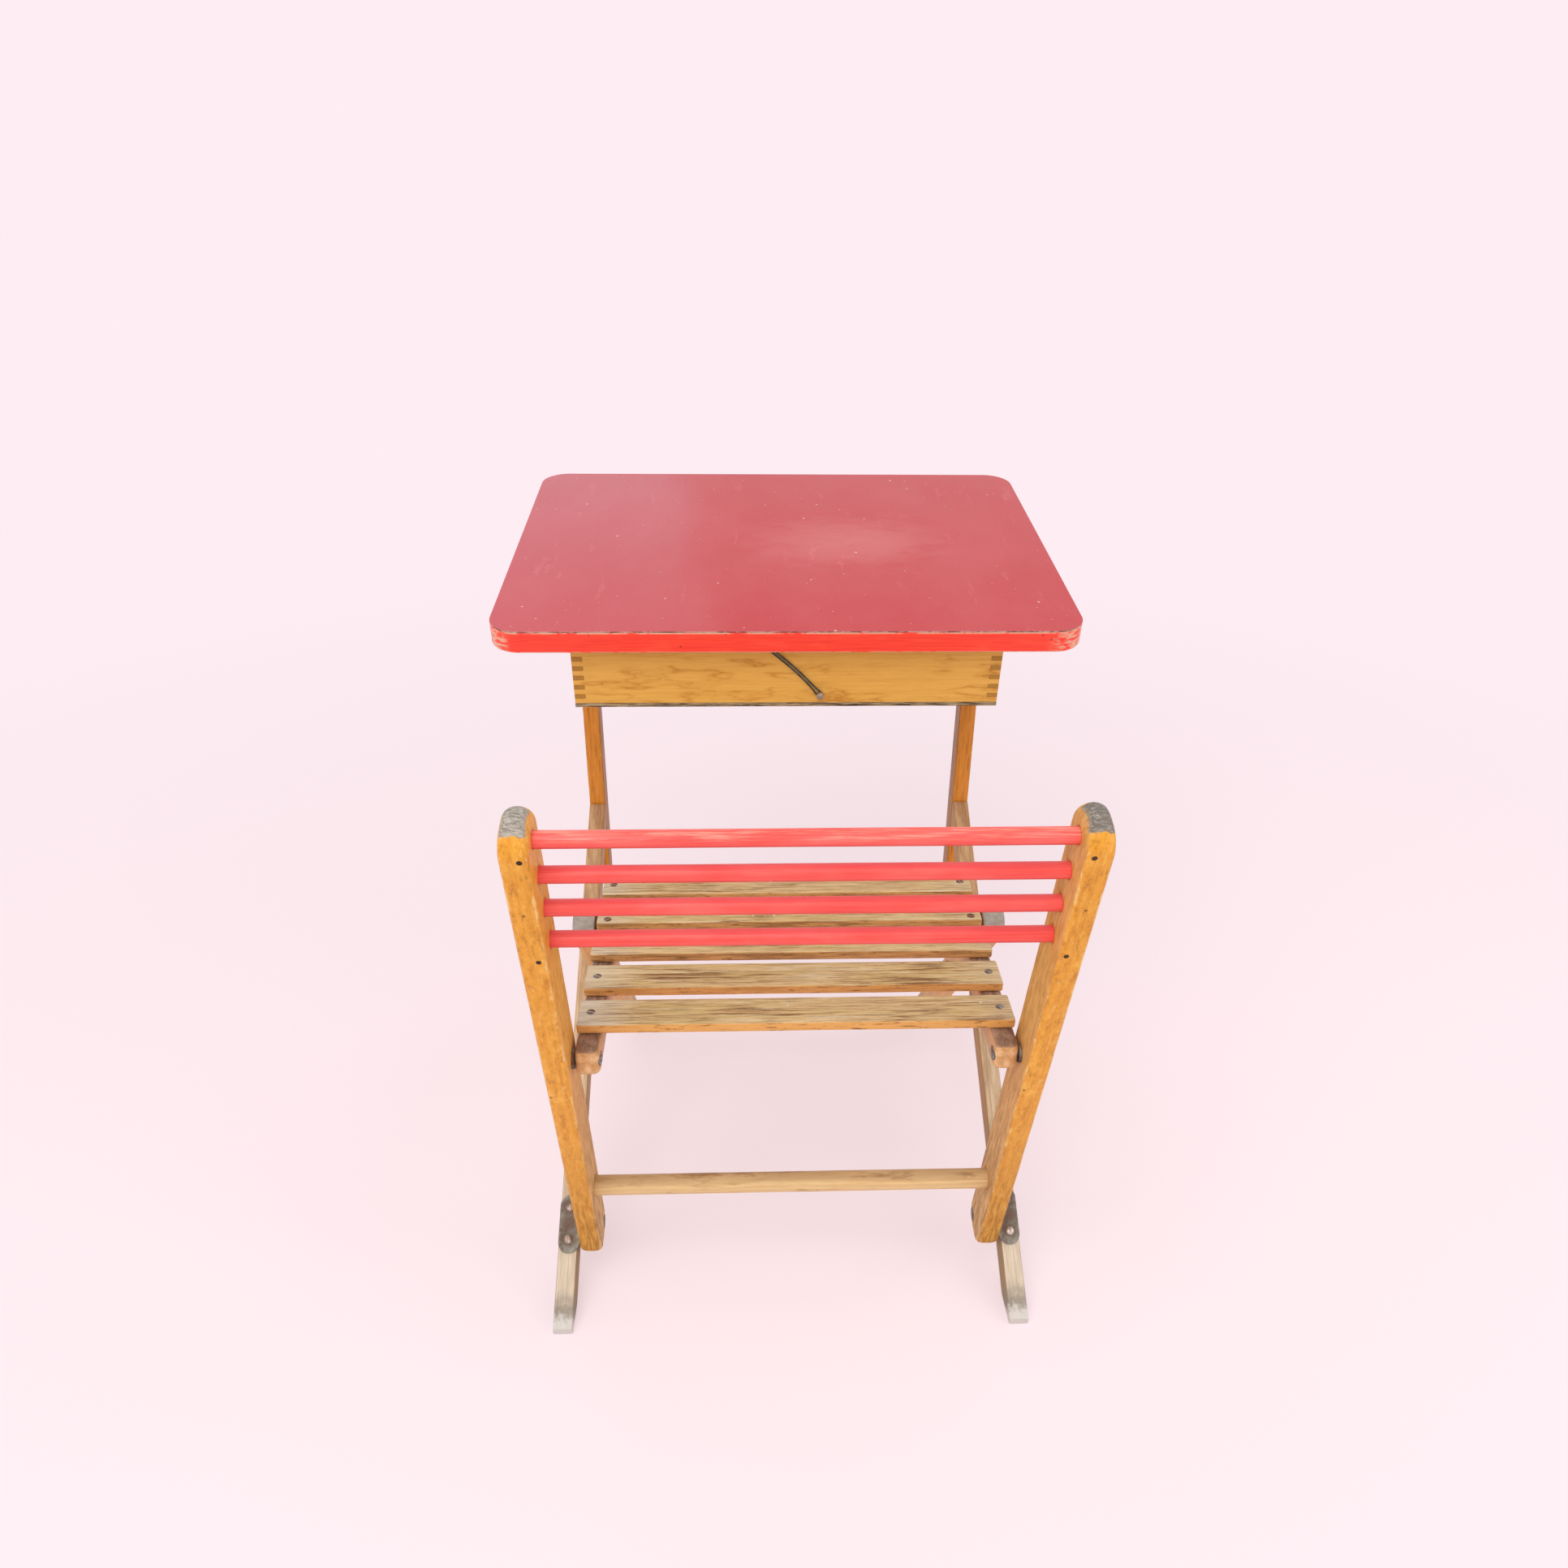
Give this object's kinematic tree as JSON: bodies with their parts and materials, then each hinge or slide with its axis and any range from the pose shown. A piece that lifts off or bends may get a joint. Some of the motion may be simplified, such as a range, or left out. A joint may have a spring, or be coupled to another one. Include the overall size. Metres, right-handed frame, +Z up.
{
  "type": "folding school desk",
  "caption": "Child's folding school desk: red lidded writing box on wooden uprights, joined by crossing legs to a slatted seat and a round-bar backrest.",
  "frame": {"origin": "middle of the bounding box on the floor", "axes": "+Z up, +Y the way the seated child looks, from the backrest to the far edge of the desk, +X to the child's right"},
  "size_m": [0.53, 0.7254, 0.6262],
  "materials": {
    "varnished_wood": "worn honey varnish",
    "box_wood": "figured softwood under yellowed varnish",
    "seat_wood": "bleached slats with orange varnish left on their edges",
    "thin_board": "raw thin board",
    "red_paint": "red paint, worn at the edges",
    "red_sheet": "dusty glossy sheet",
    "zinc": "dull zinc plate with rust",
    "rusty_steel": "rusted screws and nails",
    "dark_wire": "dark bent wire"
  },
  "bodies": {
    "desk_frame": {"rear_leg_left": "varnished_wood", "rear_leg_right": "varnished_wood", "desk_upright_left": "varnished_wood", "desk_upright_right": "varnished_wood", "pivot_plate_left": "zinc", "pivot_plate_right": "zinc", "plate_screws": "rusty_steel", "back_pivot_bolts": "zinc", "leg_pivot_bolts": "zinc", "desk_pivot_bolts": "zinc", "frame_nuts": "zinc"},
    "front_legs": {"front_leg_left": "varnished_wood", "front_leg_right": "varnished_wood", "front_stretcher": "varnished_wood", "seat_front_bolts": "zinc", "seat_front_nuts": "zinc"},
    "backrest": {"back_post_left": "varnished_wood", "back_post_right": "varnished_wood", "back_bar_1": "red_paint", "back_bar_2": "red_paint", "back_bar_3": "red_paint", "back_bar_4": "red_paint", "lower_bar": "varnished_wood", "bar_nails": "rusty_steel", "seat_pivot_bolts": "zinc", "seat_pivot_nuts": "zinc", "pivot_washers": "zinc"},
    "seat": {"seat_rail_left": "varnished_wood", "seat_rail_right": "varnished_wood", "seat_slat_1": "seat_wood", "seat_slat_2": "seat_wood", "seat_slat_3": "seat_wood", "seat_slat_4": "seat_wood", "seat_slat_5": "seat_wood", "slat_screws": "rusty_steel"},
    "desk_box": {"box_front": "box_wood", "box_back": "box_wood", "box_left": "box_wood", "box_right": "box_wood", "box_bottom": "thin_board", "desk_stop_left": "varnished_wood", "desk_stop_right": "varnished_wood", "box_hinge_leaves": "zinc", "hinge_pins": "zinc", "hook_screw": "rusty_steel"},
    "desk_lid": {"top_panel": "red_paint", "top_laminate": "red_sheet", "lid_hinge_leaves": "zinc"},
    "hook": {"lid_hook": "dark_wire"}
  },
  "joints": [
    {"name": "chair_fold", "type": "hinge", "parent": "desk_frame", "child": "front_legs", "pos_m": [0, 0.01469, 0.18278], "axis": [1, 0, 0], "range_deg": [-48, 0]},
    {"name": "back_fold", "type": "hinge", "parent": "desk_frame", "child": "backrest", "pos_m": [0, -0.19662, 0.04712], "axis": [1, 0, 0], "range_deg": [-28.6, 0]},
    {"name": "seat_fold", "type": "hinge", "parent": "backrest", "child": "seat", "pos_m": [0, -0.27847, 0.315], "axis": [1, 0, 0], "range_deg": [0, 41.7]},
    {"name": "desk_tilt", "type": "hinge", "parent": "desk_frame", "child": "desk_box", "pos_m": [0, 0.18638, 0.545], "axis": [1, 0, 0], "range_deg": [-90, 0]},
    {"name": "lid_open", "type": "hinge", "parent": "desk_box", "child": "desk_lid", "pos_m": [0, 0.34677, 0.59989], "axis": [1, 0, 0], "range_deg": [-75, 0]},
    {"name": "hook_swing", "type": "hinge", "parent": "desk_box", "child": "hook", "pos_m": [0.03, 0.00219, 0.50193], "axis": [0, -0.991, -0.134], "range_deg": [0, 136]}
  ],
  "couplings": [
    {"joint": "back_fold", "follows": "chair_fold", "ratio": 0.594},
    {"joint": "seat_fold", "follows": "chair_fold", "ratio": -0.868}
  ]
}
